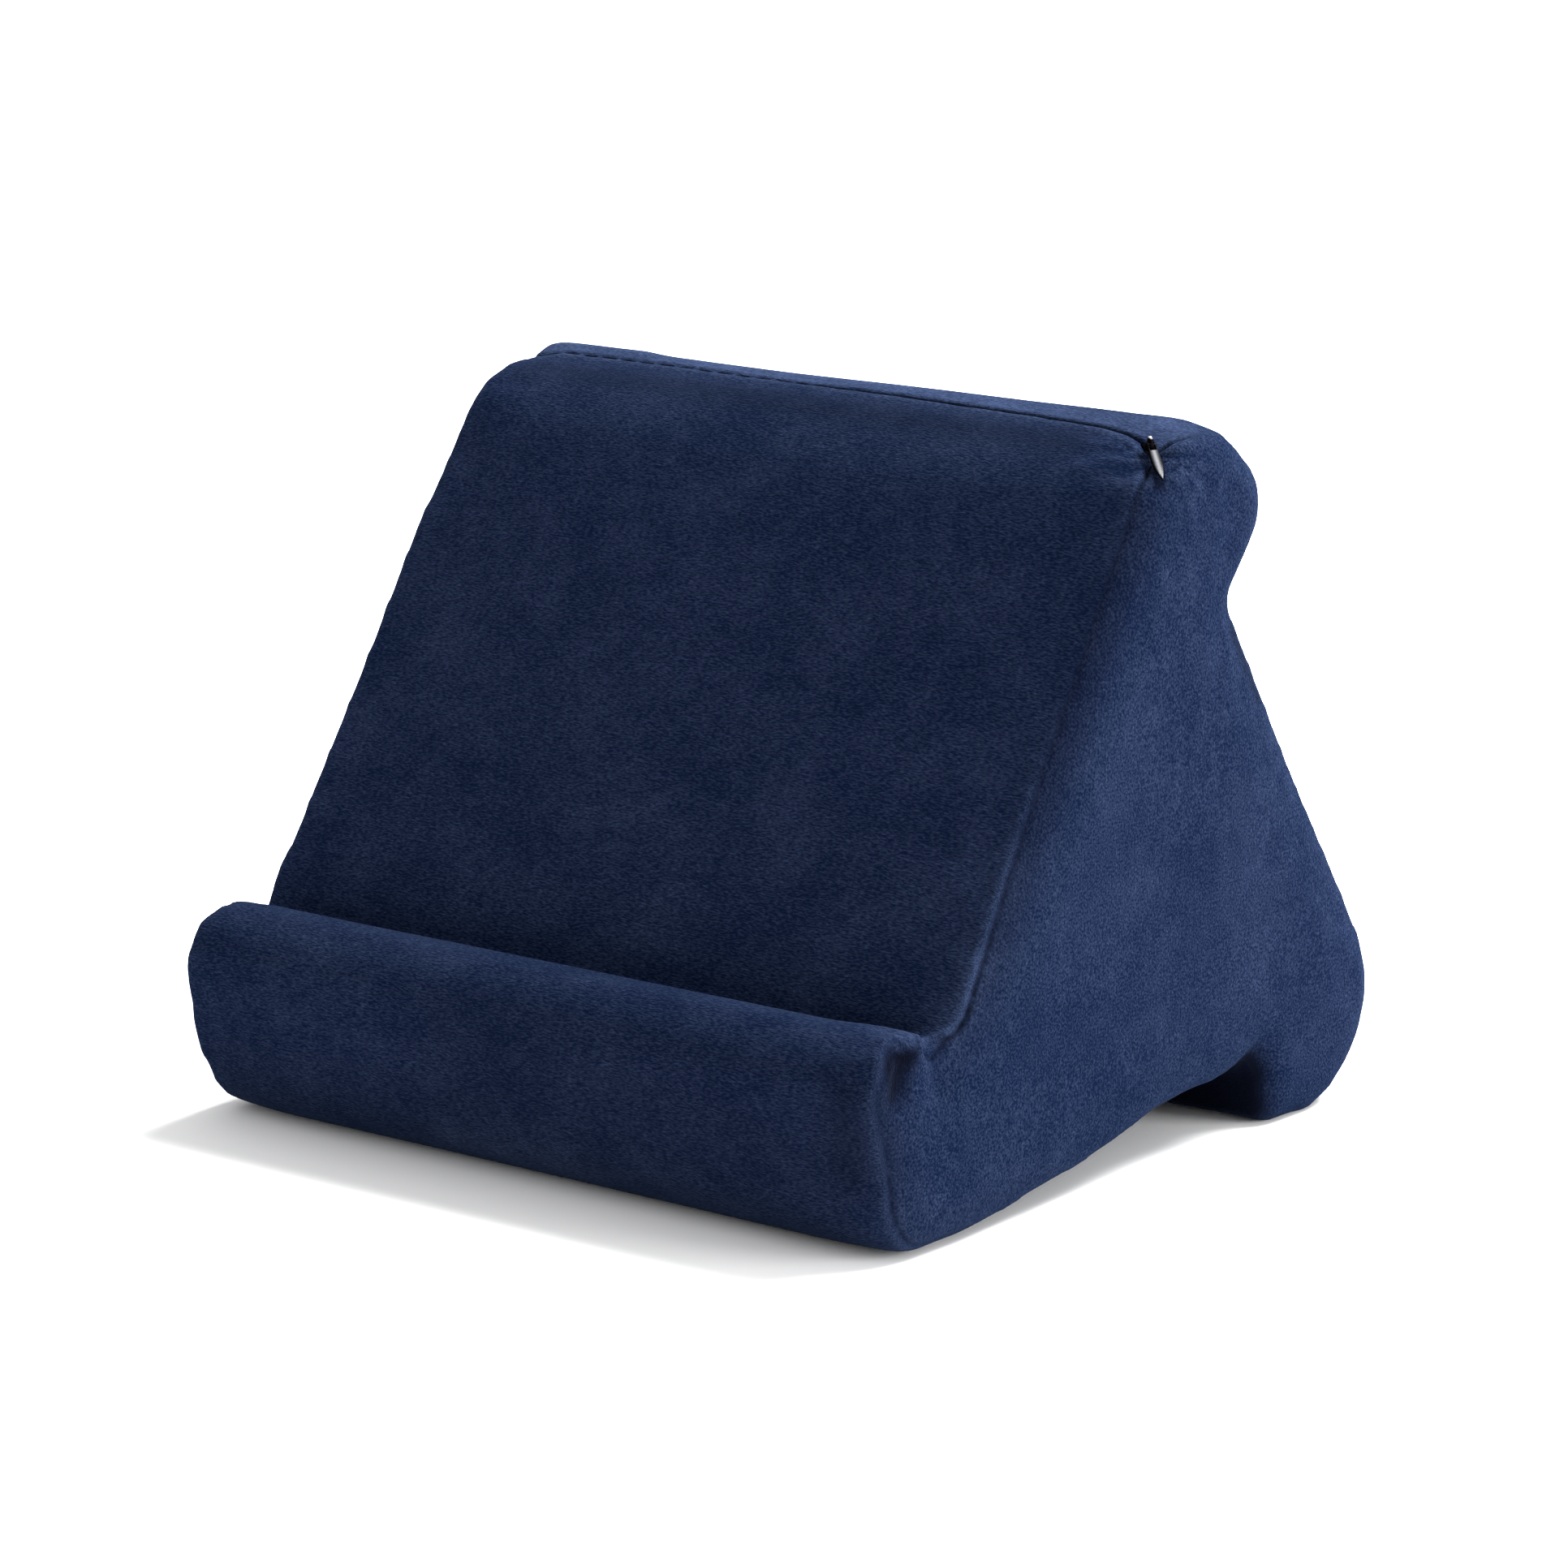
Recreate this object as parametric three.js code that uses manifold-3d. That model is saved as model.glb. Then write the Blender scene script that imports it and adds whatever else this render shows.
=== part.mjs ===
// Tablet pillow: a three-sided filled cushion in a plush cover. Each face ends in a rounded ledge that
// stands out past the next face, so a tablet can lean on any of the three with its edge on a ledge.
// Millimetres, +Z up, the reading side towards -Y, origin on the surface under the middle.

import * as THREE from 'three';
import { mergeVertices } from 'three/addons/utils/BufferGeometryUtils.js';
import Module from 'manifold-3d';

// Cushion: driving sizes
const SEAM_WIDTH = 280;
const END_CROWN = 5;
const HALF_WIDTH = SEAM_WIDTH / 2 + END_CROWN;
const PANEL_DRAW = 0.03;
const MIDDLE_STEPS = 10;
const ARC_STEP = THREE.MathUtils.degToRad(13);
const STRAIGHT_STEP = 16;
const SHARPEST_ROUND = 2;
const HALVINGS = 24;

// The cover's section, walked from the front foot up the reading side, over the top and back underneath.
// Each row is a corner, the radius that rounds it, and how far the stretch after it swells at mid width.
const SECTION = [
  { at: 'front foot', y: -128, z: 0, radius: 24, swell: 0.8 },
  { at: 'front ledge', y: -143.5, z: 70.5, radius: 20, swell: 0 },
  { at: 'front ledge back', y: -108.5, z: 70.5, radius: 8, swell: 0 },
  { at: 'front groove', y: -103, z: 56, radius: 4, swell: 2.2 },
  { at: 'front top', y: 11.2, z: 230.5, radius: 34, swell: 0 },
  { at: 'top ledge', y: 105.3, z: 241, radius: 24.5, swell: 0 },
  { at: 'back groove', y: 51, z: 178.5, radius: 6, swell: 2.2 },
  { at: 'rear foot', y: 168, z: 0, radius: 36, swell: 0 },
  { at: 'rear foot inside', y: 72, z: 0, radius: 10, swell: 0 },
  { at: 'under groove', y: 69, z: 20.5, radius: 8, swell: 1.5 },
  { at: 'under front', y: -83.5, z: 0, radius: 60, swell: 0 },
];

// The edge at each end, walked from the wrap over the side seam to the flat of the end panel.
// back is how far a ring lies behind the end panel's crown, inset how far it is drawn in from the section.
const EDGE = [
  { at: 'full section', back: 34, inset: 0 },
  { at: 'wrap', back: 20, inset: 0.3 },
  { at: 'wrap', back: 12, inset: 0.7 },
  { at: 'shoulder', back: 7.5, inset: 1.2 },
  { at: 'shoulder', back: END_CROWN, inset: 2.2 },
  { at: 'seam', back: END_CROWN, inset: 3.6 },
  { at: 'panel edge', back: 3.6, inset: 4.8 },
  { at: 'panel', back: 2, inset: 7 },
  { at: 'panel', back: 0.6, inset: 9.8 },
  { at: 'panel flat', back: 0, inset: 12.5 },
];

const SEAM_INSET = EDGE.find((row) => row.at === 'seam').inset;

// The zip's crease along the top: it runs forwards to the slider at the right end and stops there.
const ZIP_LINE = [
  { x: -HALF_WIDTH, y: 40.5 },
  { x: -60, y: 38 },
  { x: 0, y: 34 },
  { x: 80, y: 32 },
  { x: 105, y: 29.5 },
  { x: 118, y: 26.5 },
  { x: 129, y: 22.5 },
  { x: HALF_WIDTH, y: 18 },
];
const ZIP_DEPTH = 1.8;
const ZIP_RIM = 0.5;
const ZIP_HALF_WIDTH = 2.6;
const ZIP_STOP = 136;
const ZIP_FADE = 8;
const ZIP_STEPS_BEFORE = 5;
const ZIP_STEPS_AFTER = 15;

// Soft hollows where the cover is pulled in. A depth below 0 is a place where it stands out.
const HOLLOWS = [
  { at: 'zip mouth', x: 132, y: 19.5, z: 229, reach: 9, depth: 2.9 },
  { at: 'under the pull', x: 139.3, y: 14, z: 224.2, reach: 7, depth: 2 },
  { at: 'right corner of the top ledge', x: 142, y: 61, z: 229, reach: 13, depth: 3.4 },
  { at: 'right end of the front ledge', x: 143, y: -118, z: 57, reach: 9, depth: 3 },
  { at: 'left end of the front ledge', x: -143, y: -118, z: 57, reach: 9, depth: 3 },
  { at: 'right end of the ledge back', x: 136, y: -111, z: 69, reach: 12, depth: -2.6 },
  { at: 'right corner of the front ledge', x: 146, y: -142, z: 34, reach: 24, depth: 5 },
  { at: 'right end of the underside', x: 140, y: 24, z: 14, reach: 28, depth: 2.6 },
];

// Zip slider and pull
const SLIDER_SPOT = new THREE.Vector3(129.7, 21.2, 228.95);
const SLIDER_YAW = THREE.MathUtils.degToRad(-38);
const SLIDER_PITCH = THREE.MathUtils.degToRad(19);
const SLIDER_LENGTH = 6.4;
const SLIDER_WIDTH = 4.2;
const SLIDER_PLATE = 1;
const BRIDGE_LENGTH = 4.6;
const BRIDGE_WIDTH = 1.2;
const BRIDGE_HEIGHT = 4.4;
const BRIDGE_BAR = 0.9;
const BRIDGE_AHEAD = 2.8;
const PULL_LENGTH = 16.4;
const PULL_WIDTH = 3.6;
const PULL_THICKNESS = 0.9;
const PULL_NECK = 3;
const PULL_DROP = THREE.MathUtils.degToRad(16);
const PULL_PLAY = 0.45;
const BULGE = 1.4;
const BULGE_PLACE = 0.6;
const EYE_LENGTH = 2.3;
const EYE_WIDTH = 1.9;
const EYE_BAR = 0.8;

const plush = new THREE.MeshStandardMaterial({ color: 0x22335f, roughness: 0.95, metalness: 0 });
const zipMetal = new THREE.MeshStandardMaterial({ color: 0x4a4c52, roughness: 0.35, metalness: 1 });

// Section corners after the whole outline is drawn in by inset, each with its sharpened or kept radius.
function insetCorners(inset) {
  const count = SECTION.length;
  const corner = (i) => new THREE.Vector2(SECTION[(i + count) % count].y, SECTION[(i + count) % count].z);
  return SECTION.map((row, i) => {
    const incoming = corner(i).sub(corner(i - 1)).normalize();
    const outgoing = corner(i + 1).sub(corner(i)).normalize();
    const turn = Math.atan2(incoming.cross(outgoing), incoming.dot(outgoing));
    const inward = new THREE.Vector2(incoming.y, -incoming.x);
    const slide = -inset * Math.tan(turn / 2);
    const moved = corner(i).addScaledVector(inward, inset).addScaledVector(incoming, -slide);
    const radius = turn < 0 ? Math.max(row.radius - inset, SHARPEST_ROUND) : row.radius;
    return { point: moved, incoming, turn, radius };
  });
}

// The rounded outline as a path of arcs and straight stretches, one of each for every row of the section.
function sectionPath(inset) {
  const path = new THREE.Path();
  for (const { point, incoming, turn, radius } of insetCorners(inset)) {
    const side = Math.sign(turn);
    const start = point.clone().addScaledVector(incoming, -radius * Math.tan(Math.abs(turn) / 2));
    const across = new THREE.Vector2(-incoming.y, incoming.x);
    const centre = start.clone().addScaledVector(across, side * radius);
    const from = Math.atan2(start.y - centre.y, start.x - centre.x);
    path.absarc(centre.x, centre.y, radius, from, from + turn, turn < 0);
  }
  path.closePath();
  return path;
}

const FULL_PATH = sectionPath(0);
const STRIP_ROW = SECTION.findIndex((row) => row.at === 'front top');

// Number of steps along each curve of the full section, so that every ring has the same points.
const CURVE_STEPS = FULL_PATH.curves.map((curve) => {
  const span = curve.isEllipseCurve ? Math.abs(curve.aEndAngle - curve.aStartAngle) : 0;
  return curve.isEllipseCurve ? Math.ceil(span / ARC_STEP) : Math.ceil(curve.getLength() / STRAIGHT_STEP);
});

// The zip line's place across the top at a given x.
function zipPlace(x) {
  const next = Math.max(1, ZIP_LINE.findIndex((row) => row.x >= x));
  const [low, high] = [ZIP_LINE[next - 1], ZIP_LINE[next]];
  return THREE.MathUtils.mapLinear(x, low.x, high.x, low.y, high.y);
}

// A point of a curve with its outward normal.
function pointOn(curve, share) {
  const place = curve.getPoint(share);
  const along = curve.getTangent(share);
  return { y: place.x, z: place.y, normal: new THREE.Vector2(-along.y, along.x), raise: 0 };
}

// The share of a strip's length at which it passes a given y.
function shareAt(strip, y) {
  let [low, high] = [0, 1];
  for (let halving = 0; halving < HALVINGS; halving += 1) {
    const middle = (low + high) / 2;
    [low, high] = strip.getPoint(middle).x < y ? [middle, high] : [low, middle];
  }
  return low;
}

// The cover from the front top's arc to the end of the top ledge's arc, as one curve.
function topStrip(curves) {
  const strip = new THREE.CurvePath();
  for (const curve of curves.slice(2 * STRIP_ROW, 2 * STRIP_ROW + 3)) strip.add(curve);
  return strip;
}

const FULL_STRIP = topStrip(FULL_PATH.curves);

// How far a stretch bows between its corners, as a share of its most, at a share of its length.
function bow(share) {
  return 4 * share * (1 - share);
}

// Points over the top, with three of them on the zip's rims and crease, which fade out at the two ends.
function zipStripPoints(curves, x, inset) {
  const strip = topStrip(curves);
  const rim = ZIP_HALF_WIDTH / FULL_STRIP.getLength();
  const atSlider = THREE.MathUtils.clamp((ZIP_STOP - x) / ZIP_FADE, 0, 1);
  const open = Math.max(0, 1 - inset / SEAM_INSET) * atSlider;
  const crease = shareAt(FULL_STRIP, zipPlace(x));
  const spread = (from, to, steps) =>
    Array.from({ length: steps }, (_, i) => THREE.MathUtils.lerp(from, to, i / steps));
  const points = [
    ...spread(0, crease - rim, ZIP_STEPS_BEFORE),
    crease - rim,
    crease,
    ...spread(crease + rim, 1, ZIP_STEPS_AFTER),
  ].map((share) => ({ ...pointOn(strip, share), raise: -PANEL_DRAW * inset * bow(share) }));
  points[ZIP_STEPS_BEFORE].raise += ZIP_RIM * open;
  points[ZIP_STEPS_BEFORE + 1].raise -= ZIP_DEPTH * open;
  points[ZIP_STEPS_BEFORE + 2].raise += ZIP_RIM * open;
  return points;
}

// One ring of the cushion: the section at x, drawn in by inset and swelling towards mid width.
function ringPoints(x, inset) {
  const { curves } = sectionPath(inset);
  const fullness = 1 - (x / HALF_WIDTH) ** 2;
  return SECTION.flatMap((row, i) => {
    if (i === STRIP_ROW) return zipStripPoints(curves, x, inset);
    const [arc, straight] = [curves[2 * i], curves[2 * i + 1]];
    const arcSteps = i === STRIP_ROW + 1 ? 0 : CURVE_STEPS[2 * i];
    const onArc = Array.from({ length: arcSteps }, (_, k) => pointOn(arc, k / arcSteps));
    const steps = CURVE_STEPS[2 * i + 1];
    const onStraight = Array.from({ length: steps }, (_, k) => {
      const share = k / steps;
      return { ...pointOn(straight, share), raise: (row.swell * fullness - PANEL_DRAW * inset) * bow(share) };
    });
    return [...onArc, ...onStraight];
  });
}

// Rings from the left end panel to the right one, each with how far its normals lean out to the end.
function stationList() {
  const rows = EDGE.map((row, i) => {
    const before = EDGE[Math.max(i - 1, 0)];
    const after = EDGE[Math.min(i + 1, EDGE.length - 1)];
    return { ...row, lean: Math.atan2(after.inset - before.inset, before.back - after.back) };
  });
  const right = rows.map((row) => ({ x: HALF_WIDTH - row.back, inset: row.inset, lean: row.lean, end: 1 }));
  const left = right.map((row) => ({ ...row, x: -row.x, end: -1 })).reverse();
  const reach = right[0].x;
  const middle = Array.from({ length: MIDDLE_STEPS - 1 }, (_, i) => ({
    x: reach * ((2 * (i + 1)) / MIDDLE_STEPS - 1), inset: 0, lean: 0, end: 1,
  }));
  return [...left, ...middle, ...right];
}

// A ring's points in space, with the hollows pressed in and nothing below the surface it rests on.
function ringVertices({ x, inset, lean, end }) {
  return ringPoints(x, inset).map(({ y, z, normal, raise }) => {
    const out = new THREE.Vector3(end * Math.sin(lean), normal.x * Math.cos(lean), normal.y * Math.cos(lean));
    const place = new THREE.Vector3(x, y + normal.x * raise, z + normal.y * raise);
    const pressed = HOLLOWS.reduce((sum, hollow) => {
      const away = place.distanceTo(new THREE.Vector3(hollow.x, hollow.y, hollow.z));
      return sum + hollow.depth * Math.exp(-((away / hollow.reach) ** 2));
    }, 0);
    place.addScaledVector(out, -pressed);
    place.z = Math.max(place.z, 0);
    return place;
  });
}

// The closed cushion: quads between neighbouring rings, and a flat closing each end panel.
function cushionGeometry() {
  const rings = stationList().map(ringVertices);
  const count = rings[0].length;
  const triangles = [];
  for (let ring = 0; ring < rings.length - 1; ring += 1) {
    for (let i = 0; i < count; i += 1) {
      const next = (i + 1) % count;
      const [a, b] = [ring * count + i, ring * count + next];
      const [c, d] = [a + count, b + count];
      triangles.push(a, d, b, a, c, d);
    }
  }
  const lastRing = (rings.length - 1) * count;
  const flat = rings.at(-1).map((place) => new THREE.Vector2(place.y, place.z));
  for (const [a, b, c] of THREE.ShapeUtils.triangulateShape(flat, [])) {
    triangles.push(lastRing + a, lastRing + b, lastRing + c);
  }
  const leftFlat = rings[0].map((place) => new THREE.Vector2(place.y, place.z));
  for (const [a, b, c] of THREE.ShapeUtils.triangulateShape(leftFlat, [])) triangles.push(a, c, b);
  const geometry = new THREE.BufferGeometry().setFromPoints(rings.flat());
  geometry.setIndex(triangles);
  geometry.computeVertexNormals();
  return geometry;
}

const wasm = await Module();
wasm.setup();

// A closed geometry as a solid that can be joined to another.
function solidOf(geometry) {
  const bare = geometry.clone();
  bare.deleteAttribute('normal');
  bare.deleteAttribute('uv');
  const merged = mergeVertices(bare, 1e-4);
  const vertProperties = Float32Array.from(merged.attributes.position.array);
  const triVerts = Uint32Array.from(merged.index.array);
  return new wasm.Manifold(new wasm.Mesh({ numProp: 3, vertProperties, triVerts }));
}

function geometryOf(solid) {
  const { vertProperties, triVerts } = solid.getMesh();
  const geometry = new THREE.BufferGeometry();
  geometry.setAttribute('position', new THREE.BufferAttribute(Float32Array.from(vertProperties), 3));
  geometry.setIndex(new THREE.BufferAttribute(Uint32Array.from(triVerts), 1));
  geometry.computeVertexNormals();
  return geometry;
}

function extruded(shape, depth) {
  return new THREE.ExtrudeGeometry(shape, { depth, bevelEnabled: false, curveSegments: 6 });
}

// Slider: a plate with a round nose, and a bridge over it that the pull's eye goes round.
function sliderGeometry() {
  const half = SLIDER_WIDTH / 2;
  const plan = new THREE.Shape();
  plan.moveTo(-SLIDER_LENGTH / 2, -half);
  plan.lineTo(SLIDER_LENGTH / 2 - half, -half);
  plan.absarc(SLIDER_LENGTH / 2 - half, 0, half, -Math.PI / 2, Math.PI / 2, false);
  plan.lineTo(-SLIDER_LENGTH / 2, half);
  plan.closePath();
  const plate = extruded(plan, SLIDER_PLATE);

  const arch = new THREE.Shape();
  const [tail, nose] = [BRIDGE_AHEAD - BRIDGE_LENGTH, BRIDGE_AHEAD];
  const foot = SLIDER_PLATE / 2;
  const crown = BRIDGE_HEIGHT - BRIDGE_BAR;
  arch.moveTo(tail, foot);
  arch.lineTo(nose, foot);
  arch.lineTo(nose, crown);
  arch.absarc(nose - BRIDGE_BAR, crown, BRIDGE_BAR, 0, Math.PI / 2, false);
  arch.lineTo(tail + BRIDGE_BAR, BRIDGE_HEIGHT);
  arch.absarc(tail + BRIDGE_BAR, crown, BRIDGE_BAR, Math.PI / 2, Math.PI, false);
  arch.closePath();
  const window = new THREE.Path();
  window.moveTo(tail + BRIDGE_BAR, SLIDER_PLATE);
  window.lineTo(tail + BRIDGE_BAR, crown);
  window.lineTo(nose - BRIDGE_BAR, crown);
  window.lineTo(nose - BRIDGE_BAR, SLIDER_PLATE);
  window.closePath();
  arch.holes.push(window);
  const bridge = extruded(arch, BRIDGE_WIDTH).translate(0, 0, -BRIDGE_WIDTH / 2).rotateX(Math.PI / 2);
  return geometryOf(solidOf(plate).add(solidOf(bridge)));
}

// Pull: a flat leaf that narrows to its eye, drawn along +X from the bar of the eye.
function pullGeometry() {
  const [neck, widest] = [PULL_NECK / 2, PULL_WIDTH / 2];
  const tip = PULL_LENGTH - EYE_BAR / 2;
  const leaf = new THREE.Shape();
  leaf.moveTo(-EYE_BAR / 2, -neck);
  leaf.lineTo(EYE_LENGTH + EYE_BAR / 2, -neck);
  leaf.quadraticCurveTo(tip * BULGE_PLACE, -widest * BULGE, tip, 0);
  leaf.quadraticCurveTo(tip * BULGE_PLACE, widest * BULGE, EYE_LENGTH + EYE_BAR / 2, neck);
  leaf.lineTo(-EYE_BAR / 2, neck);
  leaf.closePath();
  const eye = new THREE.Path();
  eye.moveTo(EYE_BAR / 2, -EYE_WIDTH / 2);
  eye.lineTo(EYE_BAR / 2, EYE_WIDTH / 2);
  eye.lineTo(EYE_BAR / 2 + EYE_LENGTH, EYE_WIDTH / 2);
  eye.lineTo(EYE_BAR / 2 + EYE_LENGTH, -EYE_WIDTH / 2);
  eye.closePath();
  leaf.holes.push(eye);
  return extruded(leaf, PULL_THICKNESS).translate(0, 0, -PULL_THICKNESS / 2);
}

function namedMesh(name, geometry, material) {
  const mesh = new THREE.Mesh(geometry, material);
  mesh.name = name;
  return mesh;
}

// The slider stands at the zip's right end, and the pull lies down the corner from its bridge.
function zipEnd() {
  const slider = namedMesh('zip_slider', sliderGeometry(), zipMetal);
  const pull = namedMesh('zip_pull', pullGeometry(), zipMetal);
  const barHeight = BRIDGE_HEIGHT - BRIDGE_BAR - PULL_PLAY - PULL_THICKNESS / 2;
  pull.position.set(BRIDGE_AHEAD - BRIDGE_BAR - PULL_PLAY - EYE_BAR / 2, 0, barHeight);
  pull.rotation.y = PULL_DROP;
  const group = new THREE.Group();
  group.add(slider, pull);
  group.position.copy(SLIDER_SPOT);
  group.rotation.set(0, SLIDER_PITCH, SLIDER_YAW, 'ZYX');
  return group;
}

const pillow = new THREE.Group();
pillow.add(namedMesh('cushion', cushionGeometry(), plush), zipEnd());

// The origin lies under the middle of the whole.
const { min, max } = new THREE.Box3().setFromObject(pillow);
pillow.position.y = -(min.y + max.y) / 2;

export default pillow;
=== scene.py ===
# Tablet pillow in navy plush: the cushion's cover with its seams, zip slider and pull, on a pale floor.
import math
import bmesh
import bpy
import numpy as np
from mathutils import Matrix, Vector, bvhtree, kdtree, noise


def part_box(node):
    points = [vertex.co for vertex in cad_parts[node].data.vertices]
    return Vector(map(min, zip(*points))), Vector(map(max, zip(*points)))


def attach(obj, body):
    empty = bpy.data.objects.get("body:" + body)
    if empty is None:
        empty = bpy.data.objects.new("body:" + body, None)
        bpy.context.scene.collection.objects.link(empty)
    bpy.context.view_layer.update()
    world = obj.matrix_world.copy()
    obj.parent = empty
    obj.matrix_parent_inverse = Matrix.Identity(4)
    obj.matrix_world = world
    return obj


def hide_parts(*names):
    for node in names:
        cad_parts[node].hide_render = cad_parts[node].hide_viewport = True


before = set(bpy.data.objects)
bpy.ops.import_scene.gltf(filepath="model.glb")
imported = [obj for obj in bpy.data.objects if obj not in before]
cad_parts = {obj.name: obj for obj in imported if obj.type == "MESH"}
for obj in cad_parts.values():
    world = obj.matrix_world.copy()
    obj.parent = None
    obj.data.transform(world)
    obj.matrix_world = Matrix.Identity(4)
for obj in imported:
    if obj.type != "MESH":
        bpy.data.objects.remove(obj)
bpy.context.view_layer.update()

MM = 0.001

# Camera, fitted to the photograph's square frame
PHOTO_SIDE = 1932
FOCAL_PIXELS = 7451
SENSOR_MM = 36
VIEW_AZIMUTH = math.radians(38.6)
VIEW_ELEVATION = math.radians(12.7)
VIEW_DISTANCE = 1937.6 * MM
VIEW_TARGET = Vector((23.9, -28.3, 116.2)) * MM

# Cushion: how it is remeshed, evened out, filled and capped. It is held along the seams and where it
# stands.
VOXEL = 5 * MM
EVEN_IN_AND_OUT = [0.5, -0.53]
EVEN_STEPS = 4
SLACK = 0.8 * MM
SLACK_REACH = 25 * MM
SWELL_CAP = 1.8 * MM
LEAST_SWELL = 1e-9
PRESSURE = 4
FRAMES = 20
PIN_REACH = 4 * MM
BASE_HEIGHT = 1 * MM
FIT_STEPS = 2

# Side seams: they lie this far inside the end panels' crowns
END_CROWN = 5 * MM
SEAM_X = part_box("cushion")[1].x - END_CROWN

# The side seam from the top down the front, in millimetres. x is where it runs on the right. Groove and
# ridge are how much of it shows there, from 0 to 1, and shade is how much painted shade the end panel gets
# beside it. Away from these places the seam goes over to its rest values, and less of the left one shows.
SEAM_PLACES = {
    "top": {"y": 38, "z": 232.3, "x": 136.8, "groove": 0.0, "ridge": 0.0, "shade": 0.0},
    "behind the slider": {"y": 32, "z": 231.8, "x": 134.7, "groove": 0.6, "ridge": 0.2, "shade": 0.0},
    "zip mouth": {"y": 22.2, "z": 229.2, "x": 131.0, "groove": 1.0, "ridge": 0.5, "shade": 0.1},
    "front top": {"y": 11, "z": 222, "x": 136.0, "groove": 0.5, "ridge": 0.8, "shade": 0.2},
    "upper face": {"y": 0, "z": 211, "x": 137.2, "groove": 0.06, "ridge": 0.2, "shade": 0.4},
    "middle of the face": {"y": -38.5, "z": 151, "x": 138.3, "groove": 0.02, "ridge": 0.1, "shade": 0.5},
    "lower face": {"y": -74, "z": 91.5, "x": 140.6, "groove": 0.3, "ridge": 0.9, "shade": 0.35},
    "foot of the face": {"y": -86, "z": 68.5, "x": 141.5, "groove": 0.5, "ridge": 1.0, "shade": 0.2},
    "front groove": {"y": -97, "z": 60, "x": 140.2, "groove": 0.6, "ridge": 0.6, "shade": 0.1},
    "ledge back": {"y": -111, "z": 67, "x": 140.0, "groove": 0.1, "ridge": 0.6, "shade": 0.0},
    "ledge top": {"y": -119, "z": 68.5, "x": 138.5, "groove": 0.1, "ridge": 0.7, "shade": 0.1},
    "ledge curl": {"y": -127, "z": 60, "x": 141.0, "groove": 0.1, "ridge": 1.0, "shade": 0.3},
    "ledge front": {"y": -128, "z": 42, "x": 140.4, "groove": 0.1, "ridge": 0.7, "shade": 0.3},
    "front foot": {"y": -118, "z": 14, "x": 141.5, "groove": 0.3, "ridge": 1.0, "shade": 0.1},
    "underneath": {"y": -95, "z": 0, "x": 140.0, "groove": 0.1, "ridge": 0.1, "shade": 0.0},
}
SEAM_PULL = 20 * MM
REST_GROOVE = 0.1
REST_RIDGE = 0.05
LEFT_SHARE = 0.4

# The zip's line over the top, in millimetres, from the left end to the slider.
ZIP_X = [-145, -60, 0, 80, 105, 118, 129]
ZIP_Y = [38.7, 36.7, 34.2, 32.7, 30.5, 27.9, 24.8]
ZIP_LOWEST = 222 * MM
SLIDER_X = 129 * MM

# Distances to a seam are measured from points along it, about this far apart. The mesh is halved in turn
# within the distances in the list, in millimetres. The side seams count only where at least that share of
# their groove shows.
CLOUD_STEP = 0.2 * MM
REFINE_STEPS = [
    {"side": 6.5, "groove": 0.0, "zip": 6.5},
    {"side": 2.8, "groove": 0.12, "zip": 2.8},
    {"side": 0.0, "groove": 1.0, "zip": 1.3},
]

# Seam stitching: a narrow groove, deeper and shallower by dashes, with a soft puckered ridge on each side.
# The zip's groove is broken by stitches on the left, and goes over to a smooth one on the right.
GROOVE_DEPTH = 1.4 * MM
GROOVE_HALF = 0.8 * MM
ZIP_HALF = 0.45 * MM
RIDGE_PLACE = 2.3 * MM
RIDGE_HALF = 1.7 * MM
WRAP_RIDGE = 0.7 * MM
PANEL_RIDGE = 0.3 * MM
ZIP_RIDGE = 0.8
PUCKER_LENGTH = 9 * MM
PUCKER_SHARE = 0.55
DASH_LENGTH = 3.4 * MM
DASH_SHARE = 0.9
DASH_CAP = 2
ZIP_STITCH = 8.5 * MM
ZIP_SMOOTH_X = 40 * MM

# Soft troughs and ridges in the cover, in millimetres. A depth below 0 is a ridge.
CREASES = {
    "ledge front, right": {"start": (132, -135, 56), "end": (130.5, -130, 26), "half": 6, "depth": 0.8},
    "curled ledge end": {"start": (137, -127, 64), "end": (138, -128, 40), "half": 3, "depth": -0.8},
    "ledge end hollow": {"start": (142, -118, 62), "end": (142, -120, 54), "half": 5, "depth": 2.4},
    "face foot, left": {"start": (-141, -88, 74), "end": (-141, -96, 64), "half": 6, "depth": -1.6},
    "ledge front, left": {"start": (-141, -132, 46), "end": (-141, -132, 54), "half": 7, "depth": 0.5},
    "lower ledge, left": {"start": (-140, -131, 32), "end": (-140, -129, 24), "half": 7, "depth": -0.9},
    "ledge foot, left": {"start": (-140, -131, 8), "end": (-136, -129, 14), "half": 14, "depth": 1.6},
    "face rim, left": {"start": (-140, -20, 180), "end": (-140, -84, 82), "half": 14, "depth": -1.2},
    "top crown": {"start": (-136, 49, 232), "end": (120, 46, 232), "half": 10, "depth": -1.8},
    "top crown, left": {"start": (-138, 49, 231), "end": (-100, 49, 232), "half": 8, "depth": -0.8},
    "underside groove, right": {"start": (140, 70, 25), "end": (138, 67, 20), "half": 7, "depth": 3.0},
    "rear foot, right": {"start": (140, 82, 2), "end": (140, 100, 2), "half": 8, "depth": -1.6},
    "zip's left end": {"start": (-140, 38, 232), "end": (-133, 38, 233), "half": 5, "depth": 1.6},
    "round the slider": {"start": (128, 24, 230.5), "end": (131, 20.5, 229), "half": 5, "depth": 1.4},
    "below the pull": {"start": (141, 14, 218), "end": (143, 24, 213), "half": 3, "depth": 0.5},
    "beside the pull": {"start": (141, 22, 224), "end": (143.5, 34, 219), "half": 2.6, "depth": 0.5},
}

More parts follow.
